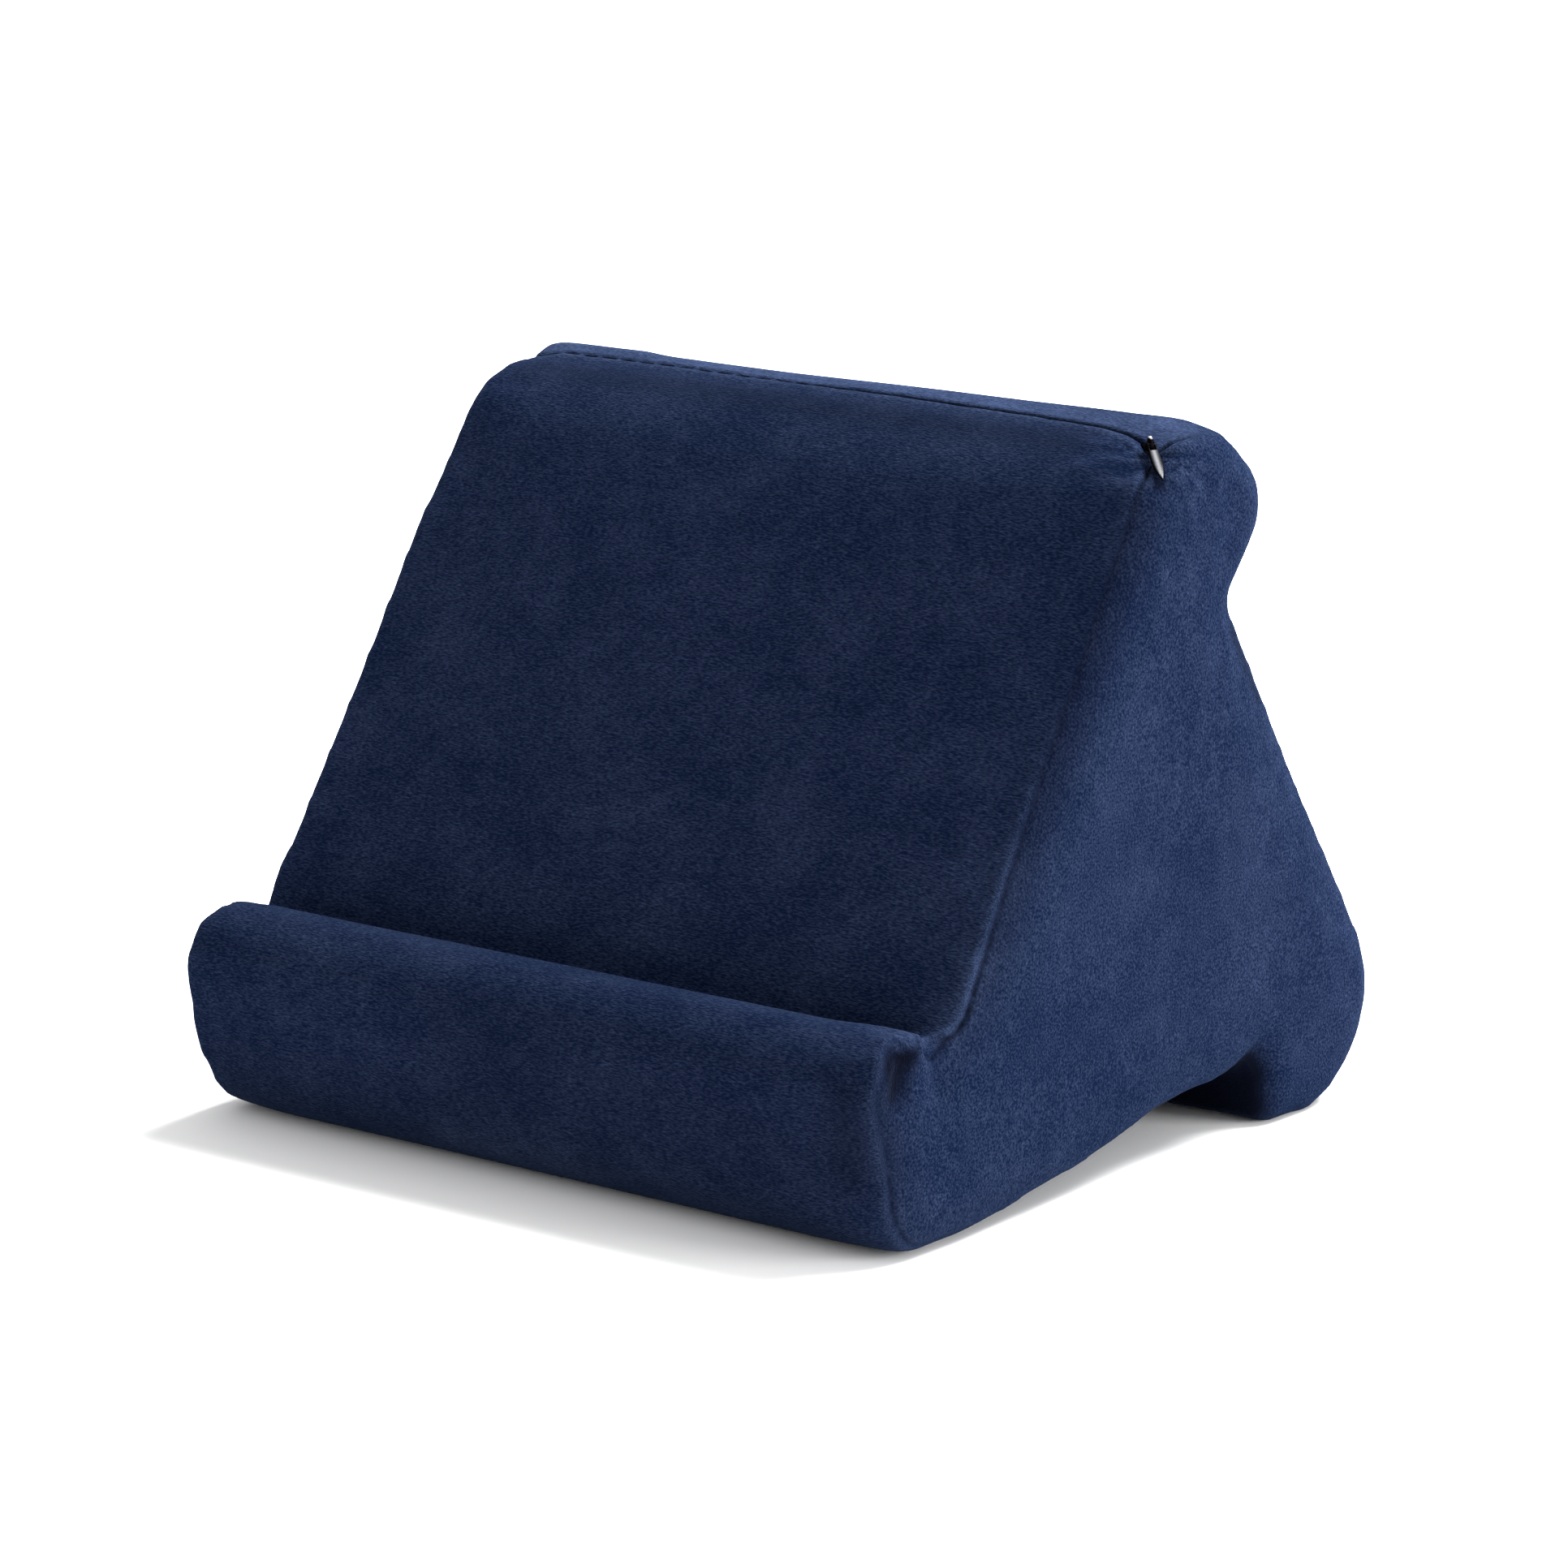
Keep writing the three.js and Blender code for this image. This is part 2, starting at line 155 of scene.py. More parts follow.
# Where the filling lifts the cover or, below 0, lets it down, in millimetres.
LIFTS = {
    "notch, right": {"start": (138, -100, 57), "end": (143, -100, 57), "half": 9, "up": 4.6},
    "ledge back, right": {"start": (140, -105, 63), "end": (142, -99, 60), "half": 7, "up": 2.4},
    "ledge corner, right": {"start": (134, -113, 71), "end": (139, -111, 70), "half": 6, "up": -2.0},
    "rear foot, right": {"start": (136, 104, 3), "end": (141, 111, 6), "half": 9, "up": -1.0},
}

# Gathers: fine wrinkles that run out from a point where the cover is pulled together, in millimetres.
GATHERS = {
    "zip mouth": {"x": 132, "y": 20, "z": 227, "reach": 16, "folds": 13, "height": 0.6},
    "right end of the ledge": {"x": 140, "y": -113, "z": 64, "reach": 11, "folds": 9, "height": 0.4},
    "left end of the ledge": {"x": -140, "y": -113, "z": 64, "reach": 11, "folds": 9, "height": 0.3},
}
GATHER_CORE = 4 * MM
GATHER_TWIST = 5 * MM
# Painted light and shade on the gathers: lighter on their wrinkles' crests and darker between them.
GATHER_LIGHT_AND_SHADE = 2.2 / MM

# Uneven filling, which fades out towards the surface that the cushion stands on
LUMP_SIZE = 70 * MM
LUMP_HEIGHT = 0.6 * MM
LUMP_LOWEST = 20 * MM
LUMP_FADE = 40 * MM

# Where the pile is brushed the other way, in millimetres, so that it looks lighter or, below 0, darker. The
# top strip and the right of the lower face are painted light instead, where more light falls.
NAP_AND_LIGHT_MARKS = {
    "ledge foot": {"start": (-34, -127, 8), "end": (14, -126, 8), "half": 11, "tone": 0.9},
    "ledge foot, right": {"start": (60, -126, 8), "end": (90, -126, 9), "half": 8, "tone": 0.4},
    "ledge end edge": {"start": (134, -114, 70), "end": (140, -103, 65), "half": 5, "tone": 0.8},
    "face foot, right": {"start": (139, -78, 84), "end": (137, -92, 63), "half": 5, "tone": 0.8},
    # Painted light: lighter where more light falls on the lower face's right and on the top strip.
    "lower face, right": {"start": (95, -72, 92), "end": (128, -68, 98), "half": 22, "tone": 0.35},
    "top strip": {"start": (-136, 48, 232), "end": (128, 39, 232), "half": 8, "tone": 1.9},
    "beside the slider": {"start": (138, 18, 224), "end": (141, 26, 221), "half": 6, "tone": 0.6},
}

# Painted shade, where little light reaches the cover, in millimetres. A shade of 1 is the darkest along
# the line, and above 1 that dark line is broader.
PAINTED_SHADES = {
    "ledge front": {"start": (-20, -138, 38), "end": (122, -137, 38), "half": 20, "shade": 0.2},
    "ledge front, right": {"start": (132, -135, 54), "end": (130.5, -131, 30), "half": 8, "shade": 0.35},
    "in front of the zip": {"start": (-126, 24, 232), "end": (100, 19, 231), "half": 9, "shade": 0.5},
    "under the pull": {"start": (134, 19, 227), "end": (140, 13, 221), "half": 2.6, "shade": 0.7},
    "rear edge": {"start": (143.2, 49.6, 169.5), "end": (143.2, 66.2, 144), "half": 2.4, "shade": 0.75},
    "ledge end, top": {"start": (141.5, -122, 64), "end": (142, -114, 64), "half": 4.5, "shade": 0.8},
    "ledge end, front": {"start": (142, -122, 60), "end": (142, -123, 54), "half": 4, "shade": 0.7},
    "ledge end, middle": {"start": (142, -117, 61), "end": (142, -119, 57), "half": 4.5, "shade": 0.5},
    "gap's corner": {"start": (139, 69, 24), "end": (140, 71, 18), "half": 5, "shade": 1.0},
    "notch": {"start": (140, -99, 60), "end": (140, -96, 61), "half": 2, "shade": 0.6},
    "underside groove": {"start": (-130, 66, 20), "end": (122, 66, 20), "half": 12, "shade": 1.6},
    "inside the rear foot": {"start": (-136, 70, 6), "end": (136, 70, 6), "half": 8, "shade": 1.6},
}

# Beside a seam the end panel gets painted shade, so that it looks darker out to here. The wrap's pile
# changes to the panel's across the blend.
EDGE_SHADE_REACH = 15 * MM
PANEL_BLEND = 2 * MM

# The cover stays this far below the zip pieces, looked for from this far inside.
ZIP_CLEARANCE = 0.3 * MM
ZIP_SEARCH = 6 * MM


def mesh_points(mesh):
    points = np.empty(len(mesh.vertices) * 3)
    mesh.vertices.foreach_get("co", points)
    return points.reshape(-1, 3)


def mesh_normals(mesh):
    normals = np.empty(len(mesh.vertices) * 3)
    mesh.vertex_normals.foreach_get("vector", normals)
    return normals.reshape(-1, 3)


def set_points(mesh, points):
    mesh.vertices.foreach_set("co", points.ravel())
    mesh.update()


def evaluated_mesh(piece):
    depsgraph = bpy.context.evaluated_depsgraph_get()
    return bpy.data.meshes.new_from_object(piece.evaluated_get(depsgraph))


def apply_modifiers(piece):
    mesh = evaluated_mesh(piece)
    piece.modifiers.clear()
    piece.data = mesh


def new_object(name, data):
    made = bpy.data.objects.new(name, data)
    bpy.context.scene.collection.objects.link(made)
    return made


def remeshed_copy(node_name, piece_name, voxel):
    """A copy of a node's solid, which gets an even mesh when its modifiers are applied."""
    piece = new_object(piece_name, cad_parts[node_name].data.copy())
    remesh = piece.modifiers.new("remesh", "REMESH")
    remesh.mode = "VOXEL"
    remesh.voxel_size = voxel
    return piece


def gaussian(distance, reach):
    return np.exp(-((distance / reach) ** 2))


def seam_guide(points):
    """The nearer side seam's x, groove, ridge and shade at each point's y and z."""
    rows = SEAM_PLACES.values()
    places = np.array([[row["y"] * MM, row["z"] * MM] for row in rows])
    values = np.array([[row["x"] * MM, row["groove"], row["ridge"], row["shade"]] for row in rows])
    rest = np.array([SEAM_X, REST_GROOVE, REST_RIDGE, 0])
    flat = points[:, 1:]
    closest = np.full(len(points), np.inf)
    found = np.tile(rest, (len(points), 1))
    for i in range(len(places) - 1):
        along = places[i + 1] - places[i]
        share = np.clip((flat - places[i]) @ along / (along @ along), 0, 1)[:, None]
        away = np.linalg.norm(flat - places[i] - share * along, axis=1)
        nearer = (away < closest)[:, None]
        found = np.where(nearer, values[i] + share * (values[i + 1] - values[i]), found)
        closest = np.minimum(away, closest)
    held = rest + gaussian(closest, SEAM_PULL)[:, None] * (found - rest)
    on_right = points[:, 0] > 0
    shown = np.where(on_right, 1, LEFT_SHARE)
    guide = dict(zip(("groove", "ridge", "shade"), shown * held[:, 1:].T))
    guide["x"] = np.where(on_right, held[:, 0], SEAM_X)
    return guide


def side_level(points):
    """Below 0 on the wrap, 0 on a side seam and above 0 on an end panel."""
    return np.abs(points[:, 0]) - seam_guide(points)["x"]


def zip_level(points):
    """0 on the zip's line over the top."""
    level = points[:, 1] - np.interp(points[:, 0] / MM, ZIP_X, ZIP_Y) * MM
    over_top = (points[:, 2] > ZIP_LOWEST) & (points[:, 0] < SLIDER_X)
    over_top &= points[:, 0] > -SEAM_X
    return np.where(over_top, level, np.nan)


def crossing_cloud(mesh, level):
    """Points along the line where a level passes 0 on a mesh, close enough together to measure from."""
    points = mesh_points(mesh)
    height = level(points)
    cloud = []
    for face in mesh.polygons:
        corners = list(face.vertices)
        found = []
        for a, b in zip(corners, corners[1:] + corners[:1]):
            if height[a] * height[b] < 0:
                share = height[a] / (height[a] - height[b])
                found.append(points[a] + share * (points[b] - points[a]))
        if len(found) == 2:
            steps = max(1, int(np.linalg.norm(found[1] - found[0]) / CLOUD_STEP))
            for i in range(steps):
                cloud.append(found[0] + (found[1] - found[0]) * i / steps)
    return np.array(cloud)


def line_distance(mesh, level):
    """Distance of each of a mesh's points to the line where a level passes 0 on it."""
    cloud = crossing_cloud(mesh, level)
    tree = kdtree.KDTree(len(cloud))
    for i, place in enumerate(cloud):
        tree.insert(place, i)
    tree.balance()
    # What the tree finds is a point of the cloud, its number and its distance.
    return np.array([tree.find(place)[2] for place in mesh_points(mesh)])


def node_shell(name):
    """A node's surface, to cast rays at and to look for its nearest points."""
    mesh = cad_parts[name].data
    corners = [vertex.co for vertex in mesh.vertices]
    return bvhtree.BVHTree.FromPolygons(corners, [list(face.vertices) for face in mesh.polygons])


def remeshed_cushion():
    """An evenly meshed copy of the cushion's solid, without its material, led back to the solid."""
    piece = remeshed_copy("cushion", "plush_cushion", VOXEL)
    apply_modifiers(piece)
    piece.data.materials.clear()
    shell = node_shell("cushion")
    points = np.array([shell.find_nearest(place)[0] for place in mesh_points(piece.data)])
    set_points(piece.data, evened(piece.data, points))
    return piece


def evened(mesh, points):
    """Smooths points along a mesh's edges, in and out by turns so that they keep their place."""
    ends = np.array([edge.vertices for edge in mesh.edges])
    count = np.bincount(ends.ravel(), minlength=len(points))[:, None]
    for factor in EVEN_IN_AND_OUT * EVEN_STEPS:
        total = np.zeros_like(points)
        np.add.at(total, ends[:, 0], points[ends[:, 1]])
        np.add.at(total, ends[:, 1], points[ends[:, 0]])
        points = points + factor * (total / count - points)
    return points


def fill_cushion(piece):
    """Cloth pressure swells the cover between its seams, no further than the cap."""
    mesh = piece.data
    points = mesh_points(mesh)
    free = np.minimum(line_distance(mesh, side_level) - PIN_REACH, points[:, 2] - BASE_HEIGHT)
    slack = SLACK * np.clip(free / SLACK_REACH, 0, 1)
    start = points - slack[:, None] * mesh_normals(mesh)
    set_points(mesh, start)
    pins = piece.vertex_groups.new(name="pins")
    pins.add(np.flatnonzero(free < 0).tolist(), 1.0, "REPLACE")
    cloth = piece.modifiers.new("cloth", "CLOTH")
    cloth.settings.use_pressure = True
    cloth.settings.uniform_pressure_force = PRESSURE
    cloth.settings.vertex_group_mass = "pins"
    cloth.settings.effector_weights.gravity = 0
    scene = bpy.context.scene
    for step in range(1, FRAMES + 1):
        scene.frame_set(step)
    moved = mesh_points(evaluated_mesh(piece)) - start
    piece.modifiers.clear()
    piece.vertex_groups.clear()
    scene.frame_set(1)
    length = np.linalg.norm(moved, axis=1, keepdims=True)
    share = SWELL_CAP * np.tanh(length / SWELL_CAP) / np.maximum(length, LEAST_SWELL)
    set_points(mesh, start + moved * share)


def subdivide(piece):
    """One subdivision, whose surface is led back to the points that it starts from."""
    subdivision = piece.modifiers.new("subdivision", "SUBSURF")
    subdivision.levels = 1
    subdivision.render_levels = 1
    target = mesh_points(piece.data)
    control = target.copy()
    for _ in range(FIT_STEPS):
        control += target - mesh_points(evaluated_mesh(piece))[:len(target)]
        set_points(piece.data, control)
    apply_modifiers(piece)


def refine(piece, near):
    """Halves the edges of the faces that lie near the seams."""
    work = bmesh.new()
    work.from_mesh(piece.data)
    chosen = {face.index for face in work.faces if all(near[v.index] for v in face.verts)}
    edges = [edge for edge in work.edges if any(face.index in chosen for face in edge.link_faces)]
    bmesh.ops.subdivide_edges(work, edges=edges, cuts=1, use_grid_fill=True)
    work.to_mesh(piece.data)
    work.free()
    piece.data.update()


def noise_at(points, size):
    """Smooth noise of about -1 to 1, with lumps of a given size."""
    return np.array([noise.noise(Vector(place / size)) for place in points])


def segment_distance(points, start, end):
    along = end - start
    share = np.clip((points - start) @ along / (along @ along), 0, 1)
    return np.linalg.norm(points - start - share[:, None] * along, axis=1)


def spread(points, table, column):
    """The sum of a table's marks at each point, each fading out on both sides of its line."""
    total = np.zeros(len(points))
    for row in table.values():
        start = np.array(row["start"]) * MM
        end = np.array(row["end"]) * MM
        total += row[column] * gaussian(segment_distance(points, start, end), row["half"] * MM)
    return total


def gather_height(points):
    """How high the gathers' wrinkles stand at each point."""
    height = np.zeros(len(points))
    for row in GATHERS.values():
        offset = points - np.array([row["x"], row["y"], row["z"]]) * MM
        away = np.linalg.norm(offset, axis=1)
        turn = np.arctan2(offset[:, 2], offset[:, 1])
        fade = gaussian(away, row["reach"] * MM) * np.clip(away / GATHER_CORE, 0, 1)
        height += row["height"] * MM * fade * np.cos(row["folds"] * turn + away / GATHER_TWIST)
    return height


def set_attribute(mesh, name, values):
    attribute = mesh.attributes.new(name, "FLOAT", "POINT")
    attribute.data.foreach_set("value", values.astype(np.float32))


def sew(piece):
    """Presses the seams, creases and gathers into the cover, and marks them for its material with painted
    shade and painted light.
    """
    mesh = piece.data
    points = mesh_points(mesh)
    side = line_distance(mesh, side_level)
    line = line_distance(mesh, zip_level)
    guide = seam_guide(points)
    on_panel = np.clip(side_level(points) / PANEL_BLEND + 0.5, 0, 1)
    pucker = 1 + PUCKER_SHARE * noise_at(points, PUCKER_LENGTH)
    dash = np.clip(1 + DASH_SHARE * noise_at(points, DASH_LENGTH), 0, DASH_CAP)
    wave = 0.5 + 0.5 * np.sin(2 * math.pi * points[:, 0] / ZIP_STITCH)
    stitch = 1 - wave * np.clip(0.5 - points[:, 0] / (2 * ZIP_SMOOTH_X), 0, 1)
    groove = guide["groove"] * dash * gaussian(side, GROOVE_HALF)
    groove = np.maximum(groove, stitch * gaussian(line, ZIP_HALF))
    ridge = guide["ridge"] * pucker * gaussian(side - RIDGE_PLACE, RIDGE_HALF)
    ridge = np.maximum(ridge, ZIP_RIDGE * pucker * gaussian(line - RIDGE_PLACE, RIDGE_HALF))
    ridge_height = WRAP_RIDGE + on_panel * (PANEL_RIDGE - WRAP_RIDGE)
    gathers = gather_height(points)
    height = ridge_height * ridge - GROOVE_DEPTH * groove + gathers
    height -= MM * spread(points, CREASES, "depth")
    lump_share = np.clip((points[:, 2] - LUMP_LOWEST) / LUMP_FADE, 0, 1)
    height += LUMP_HEIGHT * lump_share * noise_at(points, LUMP_SIZE)
    moved = points + height[:, None] * mesh_normals(mesh)
    moved[:, 2] = np.maximum(moved[:, 2] + MM * spread(points, LIFTS, "up"), 0)
    set_points(mesh, moved)
    # Painted shade on the end panel beside the seams, as dark as the seam places say.
    edge = on_panel * guide["shade"] * gaussian(side, EDGE_SHADE_REACH)
    set_attribute(mesh, "panel", on_panel)
    # Painted shade: the seam and zip grooves, the panel beside the seams and the shaded places are coloured
    # darker.
    set_attribute(mesh, "painted_shade", np.clip(groove + edge + spread(points, PAINTED_SHADES, "shade"), 0, 1))
    set_attribute(mesh, "ridge", ridge * ridge_height / WRAP_RIDGE)
    # Brushed pile and painted light from the marks, with painted light and shade on the gathers' wrinkles.
    set_attribute(mesh, "nap_and_light", spread(points, NAP_AND_LIGHT_MARKS, "tone") + GATHER_LIGHT_AND_SHADE * gathers)


def clear_zip(piece):
    """Presses the cover down where the zip's slider and pull lie on it."""
    mesh = piece.data
    points = mesh_points(mesh)
    normals = mesh_normals(mesh)
    for name in ("zip_slider", "zip_pull"):
        shell = node_shell(name)
        low, high = np.array(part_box(name))
        near = (points > low - ZIP_SEARCH).all(1) & (points < high + ZIP_SEARCH).all(1)
        for i in np.flatnonzero(near):
            inside = points[i] - ZIP_SEARCH * normals[i]
            distance = shell.ray_cast(Vector(inside), Vector(normals[i]), ZIP_SEARCH + ZIP_CLEARANCE)[3]
            if distance is not None:
                points[i] = inside + (distance - ZIP_CLEARANCE) * normals[i]
    set_points(mesh, points)


def make_cushion():
    piece = remeshed_cushion()
    fill_cushion(piece)
    subdivide(piece)
    for row in REFINE_STEPS:
        near_side = line_distance(piece.data, side_level) < row["side"] * MM
        near_zip = line_distance(piece.data, zip_level) < row["zip"] * MM
        deep = seam_guide(mesh_points(piece.data))["groove"] >= row["groove"]
        refine(piece, (near_side & deep) | near_zip)
    sew(piece)
    clear_zip(piece)
    piece.data.shade_smooth()
    return piece


# Materials: these few functions put their nodes together. The mix node has its own sockets for numbers
# and for colours.
MIX_SOCKETS = {
    "FLOAT": {"share": 0, "first": 2, "second": 3, "result": 0},
    "RGBA": {"share": 0, "first": 6, "second": 7, "result": 2},
}


def feed(tree, node, inputs):
    """Links a node's inputs to the outputs of others, or sets them to plain values."""
    for socket, value in inputs.items():
        if isinstance(value, bpy.types.NodeSocket):
            tree.links.new(value, node.inputs[socket])
        else:
            node.inputs[socket].default_value = value


def add_node(tree, kind, inputs=None, **settings):
    made = tree.nodes.new(kind)
    for name, value in settings.items():
        setattr(made, name, value)
    feed(tree, made, inputs or {})
    return made


def new_material(name):
    material = bpy.data.materials.new(name)
    material.use_nodes = True
    return material, material.node_tree, material.node_tree.nodes["Principled BSDF"]


def math_node(tree, operation, first, second):
    return add_node(tree, "ShaderNodeMath", {0: first, 1: second}, operation=operation).outputs[0]


def scaled(tree, value, factor):
    return math_node(tree, "MULTIPLY", value, factor)


def mixed(tree, kind, share, first, second):
    sockets = MIX_SOCKETS[kind]
    inputs = {sockets["share"]: share, sockets["first"]: first, sockets["second"]: second}
    return add_node(tree, "ShaderNodeMix", inputs, data_type=kind).outputs[sockets["result"]]


def bumped(tree, height, distance, strength):
    inputs = {"Height": height, "Distance": distance, "Strength": strength}
    return add_node(tree, "ShaderNodeBump", inputs).outputs["Normal"]


def noise_value(tree, place, stretch, detail=2.0):
    """Noise over the object's own coordinates, with so many lumps a metre along each axis."""
    mapping = add_node(tree, "ShaderNodeMapping", {"Vector": place, "Scale": stretch})
    inputs = {"Vector": mapping.outputs["Vector"], "Scale": 1.0, "Detail": detail}
    return add_node(tree, "ShaderNodeTexNoise", inputs).outputs["Fac"]


def attribute_value(tree, name):
    return add_node(tree, "ShaderNodeAttribute", attribute_name=name).outputs["Fac"]


# Plush: its colours, its noises in lumps a metre along each axis, and how strongly each of them and each
# mark colours the pile. A tone of 0 is dark, 1 is light and 2 is the pile brushed up to its tips.
# PLUSH_SHADE is the colour of painted shade. The seams' ridges are lighter for their opened pile and for a
# painted highlight.
PLUSH_SHADE = (0.0020, 0.0026, 0.0060, 1)
PLUSH_DARK = (0.0022, 0.0054, 0.0185, 1)
PLUSH_LIGHT = (0.0116, 0.0178, 0.0400, 1)
PLUSH_TIPS = (0.026, 0.040, 0.085, 1)
TONE_RANGE = 2
WRAP_GRAIN = (600, 2200, 2200)
PANEL_GRAIN = (1250, 1250, 1250)
CLOUD_GRAIN = (38, 38, 38)
PATCH_GRAIN = (110, 150, 150)
NOISE_MIDDLE = 0.5
MIDDLE_TONE = 0.45
PILE_CONTRAST = 3.6
CLOUD_CONTRAST = 0.9
PATCH_CONTRAST = 0.6
RIDGE_PILE_AND_HIGHLIGHT = 0.5
NAP_AND_LIGHT_TONE = 0.5
PILE_HEIGHT = 0.5 * MM
PILE_BUMP = 0.8
PLUSH_ROUGHNESS = 0.95
PLUSH_SPECULAR = 0.0
PLUSH_SHEEN = 0.05
SHEEN_ROUGHNESS = 0.35
SHEEN_TINT = (0.35, 0.5, 0.9, 1)


def plush_material():
    """Short pile: dashes along the wrap, an even speckle on the end panels and clouds of brushed pile, with
    painted shade and painted light from the cover's marks.
    """
    material, tree, shader = new_material("plush")
    place = add_node(tree, "ShaderNodeTexCoord").outputs["Object"]
    wrap_pile = noise_value(tree, place, WRAP_GRAIN)
    panel_pile = noise_value(tree, place, PANEL_GRAIN)
    pile = mixed(tree, "FLOAT", attribute_value(tree, "panel"), wrap_pile, panel_pile)
    cloud = noise_value(tree, place, CLOUD_GRAIN)
    patch = noise_value(tree, place, PATCH_GRAIN)
    tone = MIDDLE_TONE
    for grain, contrast in ((pile, PILE_CONTRAST), (cloud, CLOUD_CONTRAST), (patch, PATCH_CONTRAST)):
        departure = math_node(tree, "SUBTRACT", grain, NOISE_MIDDLE)
        tone = math_node(tree, "ADD", tone, scaled(tree, departure, contrast))
    # The ridges are lighter for their opened pile and a painted highlight, and the marks add brushed pile
    # and painted light.
    for mark, strength in (("ridge", RIDGE_PILE_AND_HIGHLIGHT), ("nap_and_light", NAP_AND_LIGHT_TONE)):
        tone = math_node(tree, "ADD", tone, scaled(tree, attribute_value(tree, mark), strength))
    ramp = add_node(tree, "ShaderNodeValToRGB", {"Fac": scaled(tree, tone, 1 / TONE_RANGE)})
    ramp.color_ramp.elements[0].color = PLUSH_DARK
    ramp.color_ramp.elements[1].color = PLUSH_TIPS
    ramp.color_ramp.elements.new(1 / TONE_RANGE).color = PLUSH_LIGHT
    # Painted shade: the pile's colour goes over to PLUSH_SHADE where the cover is marked for it.
    painted_shade = attribute_value(tree, "painted_shade")
    feed(tree, shader, {
        "Base Color": mixed(tree, "RGBA", painted_shade, ramp.outputs["Color"], PLUSH_SHADE),
        "Normal": bumped(tree, pile, PILE_HEIGHT, PILE_BUMP),
        "Roughness": PLUSH_ROUGHNESS,
        "Specular IOR Level": PLUSH_SPECULAR,
        "Sheen Weight": PLUSH_SHEEN,
        "Sheen Roughness": SHEEN_ROUGHNESS,
        "Sheen Tint": SHEEN_TINT,
    })
    return material


# Zip metal: how dark it is and how bright its painted highlights are, its fine scratches in lumps a
# metre, and a tint that keeps its edges from glaring
DARK_METAL = (0.005, 0.005, 0.006, 1)
SLIDER_HIGHLIGHT = (0.4, 0.4, 0.42, 1)
PULL_HIGHLIGHT = (0.06, 0.06, 0.064, 1)
METAL_SCRATCH = (1800, 1800, 1800)
SCRATCH_DETAIL = 4.0
SCRATCH_DEPTH = 0.03 * MM
SCRATCH_BUMP = 0.4
METAL_ROUGHNESS = 0.36
SCRATCH_ROUGHNESS = 0.2
METAL_TINT = (0.2, 0.2, 0.21, 1)


def metal_material(name, highlight_metal):
    """Dark metal with painted highlights in places, finely scratched."""
    material, tree, shader = new_material(name)
    place = add_node(tree, "ShaderNodeTexCoord").outputs["Object"]
    scratch = noise_value(tree, place, METAL_SCRATCH, SCRATCH_DETAIL)
    ramp = add_node(tree, "ShaderNodeValToRGB", {"Fac": attribute_value(tree, "painted_highlight")})
    ramp.color_ramp.elements[0].color = DARK_METAL
    ramp.color_ramp.elements[1].color = highlight_metal
    feed(tree, shader, {
        "Base Color": ramp.outputs["Color"],
        "Normal": bumped(tree, scratch, SCRATCH_DEPTH, SCRATCH_BUMP),
        "Roughness": math_node(tree, "ADD", scaled(tree, scratch, SCRATCH_ROUGHNESS), METAL_ROUGHNESS),
        "Metallic": 1,
        "Specular Tint": METAL_TINT,
    })
    return material


# Zip pieces: how they are remeshed and rounded, and where they get painted highlights. The slider's painted
# highlight is at its top, down to this depth. The pull's is a painted reflection along a stripe in the
# middle of its broad faces, which end where their normals turn away from its thickness by this cosine.
METAL_VOXEL = 0.2 * MM
METAL_ROUNDING = 5
HIGHLIGHT_DEPTH = 0.35 * MM
STRIPE_HALF = 0.8 * MM
FACE_EDGE = 0.6


def top_highlight(mesh):
    """Painted highlight, 1 at a piece's highest point and fading out below it."""
    height = mesh_points(mesh)[:, 2]
    return gaussian(height.max() - height, HIGHLIGHT_DEPTH)


def stripe_highlight(mesh):
    """Painted reflection, 1 along the middle of a long flat piece's broad faces and fading out towards its
    edges.
    """
    offset = mesh_points(mesh) - mesh_points(mesh).mean(0)
    width_axis, thick_axis = np.linalg.svd(offset, full_matrices=False)[2][1:]
    facing = np.abs(mesh_normals(mesh) @ thick_axis)
    stripe = gaussian(offset @ width_axis, STRIPE_HALF)
    return stripe * np.clip((facing - FACE_EDGE) / (1 - FACE_EDGE), 0, 1)


def make_zip_piece(node_name, piece_name, highlight):
    """A zip piece with rounded edges, marked with how much painted highlight each point of it gets."""
    piece = remeshed_copy(node_name, piece_name, METAL_VOXEL)
    rounding = piece.modifiers.new("rounding", "SMOOTH")
    rounding.iterations = METAL_ROUNDING
    apply_modifiers(piece)
    mesh = piece.data
    mesh.materials.clear()
    mesh.shade_smooth()
    set_attribute(mesh, "painted_highlight", highlight(mesh))
    return piece


# Stage: a pale floor, two softboxes and an even white surround, in metres and watts
FLOOR_HALF = 6.0
FLOOR_COLOUR = (0.95, 0.95, 0.95, 1)
FLOOR_ROUGHNESS = 0.9
SOFTBOX_AIM = Vector((0, 0, 0.1))
SOFTBOXES = {
    "key": {"place": (2.1, 0.8, 0.4), "width": 1.2, "height": 1.2, "power": 66},
    "top": {"place": (0.3, 1.2, 1.9), "width": 1.6, "height": 1.0, "power": 200},
}
SURROUND_COLOUR = (1, 1, 1, 1)
SURROUND_STRENGTH = 1.0


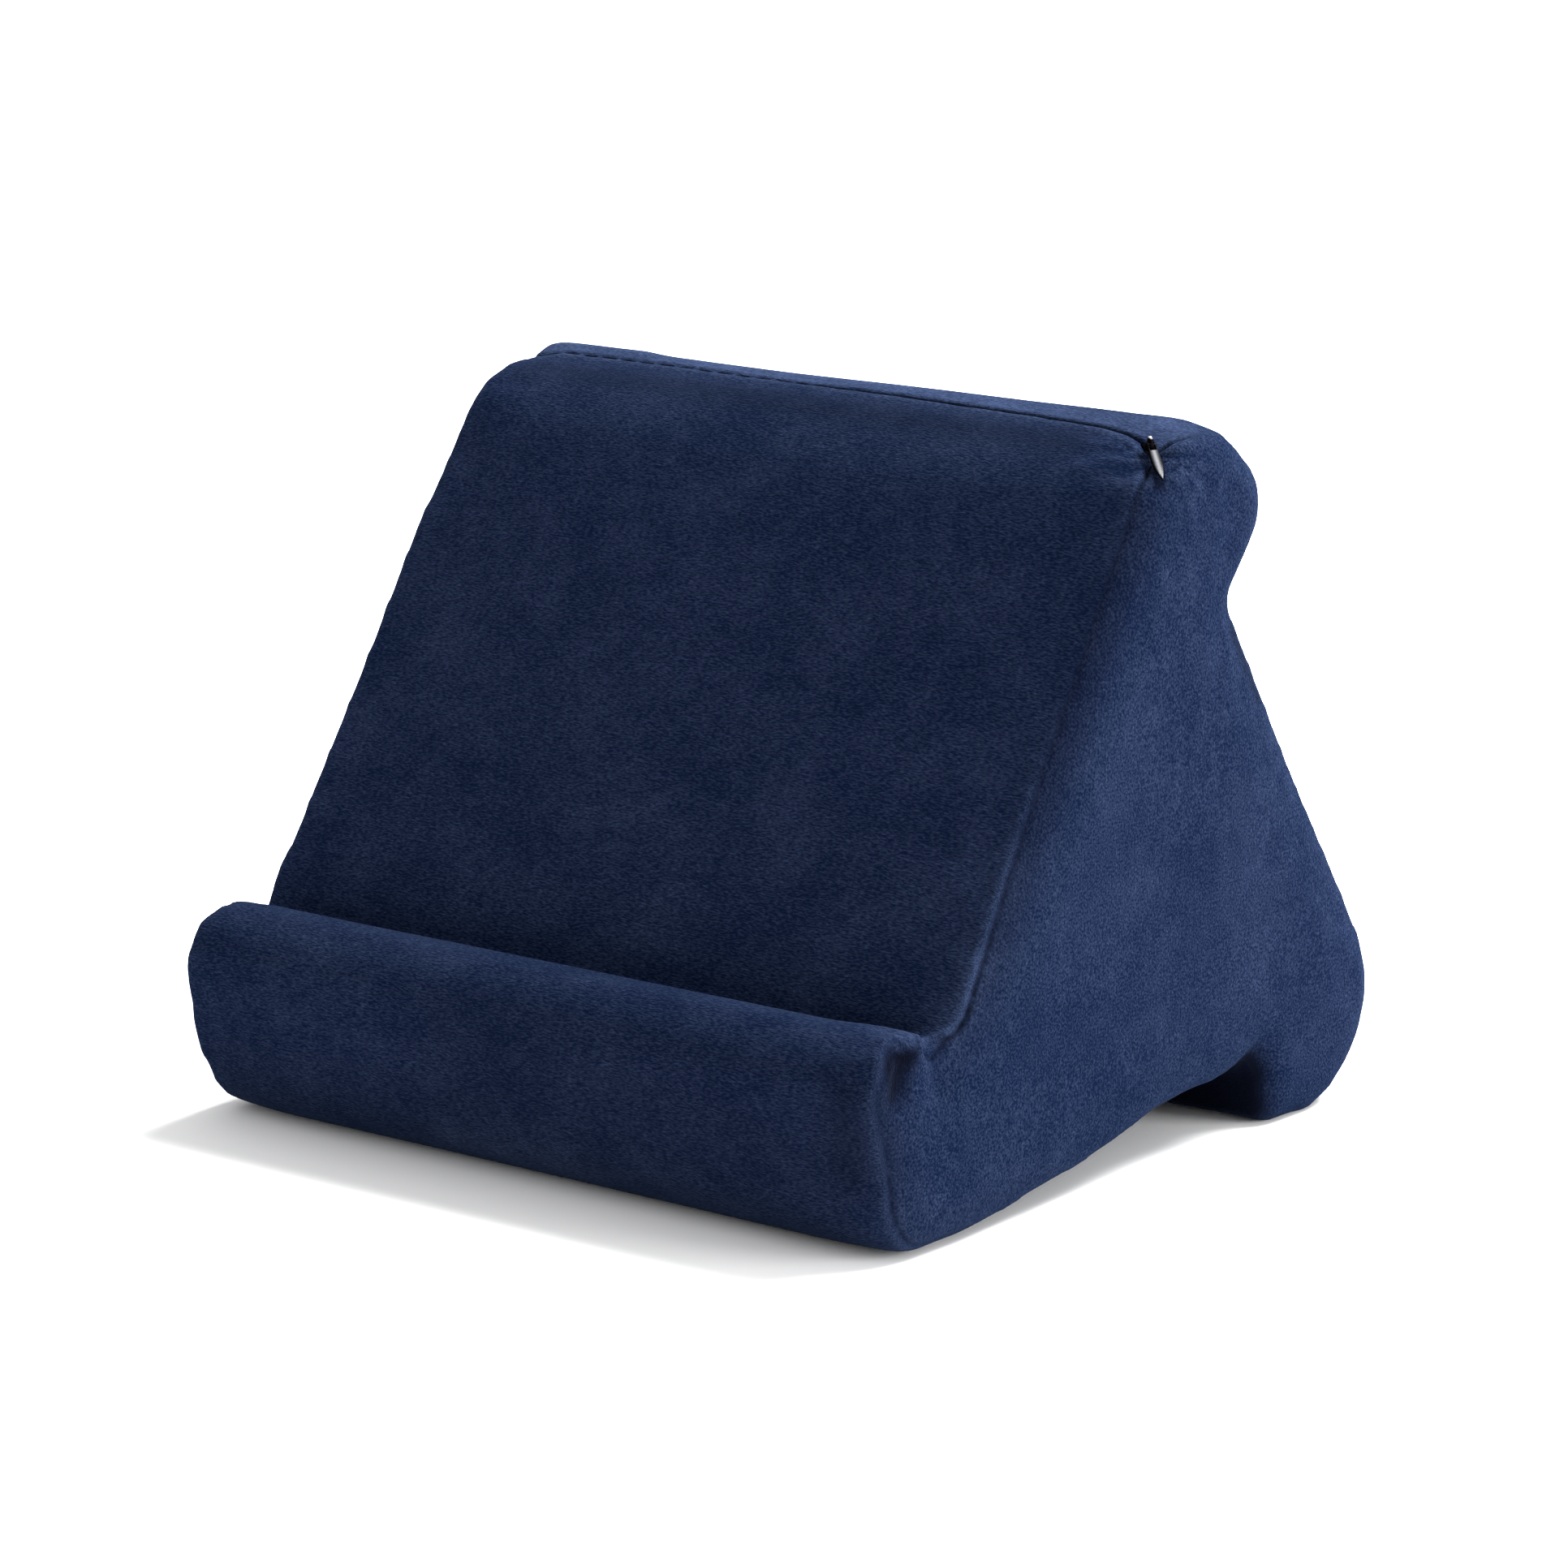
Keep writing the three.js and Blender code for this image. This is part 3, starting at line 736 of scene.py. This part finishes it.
def add_camera():
    forward = Vector((
        -math.sin(VIEW_AZIMUTH) * math.cos(VIEW_ELEVATION),
        math.cos(VIEW_AZIMUTH) * math.cos(VIEW_ELEVATION),
        -math.sin(VIEW_ELEVATION),
    ))
    lens = bpy.data.cameras.new("camera")
    lens.sensor_width = SENSOR_MM
    lens.lens = SENSOR_MM * FOCAL_PIXELS / PHOTO_SIDE
    camera = new_object("camera", lens)
    camera.location = VIEW_TARGET - forward * VIEW_DISTANCE
    camera.rotation_euler = forward.to_track_quat("-Z", "Y").to_euler()
    bpy.context.scene.camera = camera


def add_floor():
    corners = [(x * FLOOR_HALF, y * FLOOR_HALF, 0) for x, y in ((-1, -1), (1, -1), (1, 1), (-1, 1))]
    mesh = bpy.data.meshes.new("floor")
    mesh.from_pydata(corners, [], [(0, 1, 2, 3)])
    floor = new_object("floor", mesh)
    material, tree, shader = new_material("floor")
    feed(tree, shader, {"Base Color": FLOOR_COLOUR, "Roughness": FLOOR_ROUGHNESS})
    mesh.materials.append(material)


def add_lights():
    for name, row in SOFTBOXES.items():
        lamp = bpy.data.lights.new(name, "AREA")
        lamp.shape = "RECTANGLE"
        lamp.size = row["width"]
        lamp.size_y = row["height"]
        lamp.energy = row["power"]
        softbox = new_object(name, lamp)
        softbox.location = row["place"]
        softbox.rotation_euler = (SOFTBOX_AIM - softbox.location).to_track_quat("-Z", "Y").to_euler()
    world = bpy.data.worlds.new("studio")
    world.use_nodes = True
    background = world.node_tree.nodes["Background"]
    feed(world.node_tree, background, {"Color": SURROUND_COLOUR, "Strength": SURROUND_STRENGTH})
    bpy.context.scene.world = world
    bpy.context.scene.view_settings.view_transform = "Standard"


add_camera()
add_floor()
add_lights()

cushion = make_cushion()
cushion.data.materials.append(plush_material())
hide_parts("cushion")
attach(cushion, "root")

for node_name, piece_name, highlight, highlight_metal in (
    ("zip_slider", "metal_slider", top_highlight, SLIDER_HIGHLIGHT),
    ("zip_pull", "metal_pull", stripe_highlight, PULL_HIGHLIGHT),
):
    zip_piece = make_zip_piece(node_name, piece_name, highlight)
    zip_piece.data.materials.append(metal_material(piece_name, highlight_metal))
    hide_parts(node_name)
    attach(zip_piece, "root")
